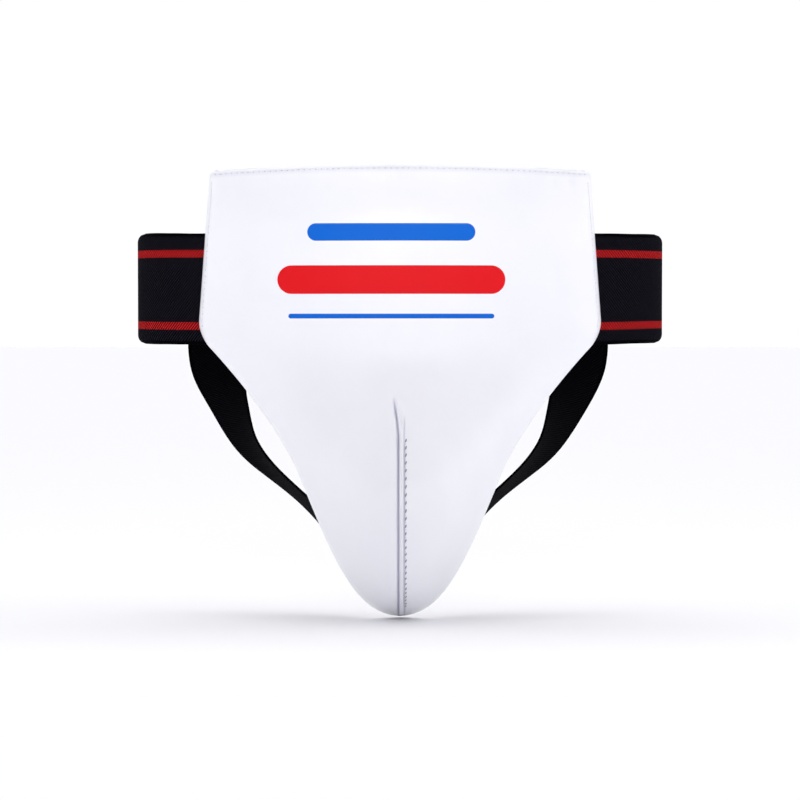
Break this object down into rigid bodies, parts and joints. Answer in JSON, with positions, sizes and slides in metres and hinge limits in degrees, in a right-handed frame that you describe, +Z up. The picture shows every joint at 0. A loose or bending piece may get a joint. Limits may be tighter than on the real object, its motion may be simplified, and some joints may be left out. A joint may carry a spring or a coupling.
{
  "type": "groin protector",
  "caption": "Groin protector with a padded abdomen panel over a domed hard cup, an elastic waistband with a hook-and-loop back closure, and elastic leg straps.",
  "frame": {"origin": "centre of the waist opening, at the middle of the waistband's height", "axes": "+X to the right seen from the front, +Y backwards towards the wearer's back, +Z up"},
  "size_m": [0.3413, 0.168, 0.289],
  "materials": {
    "coated_fabric": "smooth white polyurethane-coated fabric, low gloss",
    "lining_fabric": "knitted polyester lining",
    "foam": "closed-cell foam",
    "moulded_plastic": "moulded polypropylene",
    "elastic": "black twill-woven elastic with two red stripes",
    "white_thread": "twisted polyester thread",
    "black_thread": "twisted polyester thread",
    "hook_and_loop": "nylon hook and loop"
  },
  "bodies": {
    "pad": {"front_cover": "coated_fabric", "rear_lining": "lining_fabric", "pad_foam": "foam", "cup_face_foam": "foam", "hard_cup": "moulded_plastic", "cup_liner": "lining_fabric", "rim_cushion": "coated_fabric", "top_edge_thread": "white_thread", "centre_seam_thread": "white_thread", "strap_anchor": "coated_fabric", "band_end_right": "elastic", "band_seam_right": "black_thread", "strap_end_right": "elastic", "band_end_left": "elastic", "band_seam_left": "black_thread", "strap_end_left": "elastic"},
    "band_right": {"waistband_right": "elastic", "leg_strap_right": "elastic", "strap_seam_right": "black_thread"},
    "band_left": {"waistband_left": "elastic", "leg_strap_left": "elastic", "strap_seam_left": "black_thread", "loop_patch": "hook_and_loop"},
    "tab": {"closure_tab": "elastic", "hook_patch": "hook_and_loop"}
  },
  "joints": [
    {"name": "band_right_swing", "type": "hinge", "parent": "pad", "child": "band_right", "pos_m": [0.1283, -0.02923, 0], "axis": [0, 0, -1], "range_deg": [0, 65]},
    {"name": "band_left_swing", "type": "hinge", "parent": "pad", "child": "band_left", "pos_m": [-0.1283, -0.02923, 0], "axis": [0, 0, 1], "range_deg": [0, 65]},
    {"name": "tab_peel", "type": "hinge", "parent": "band_right", "child": "tab", "pos_m": [0.01, 0.0585, 0], "axis": [0, 0, -1], "range_deg": [0, 150]}
  ],
  "couplings": [
    {"joint": "band_left_swing", "follows": "band_right_swing", "ratio": 1}
  ]
}
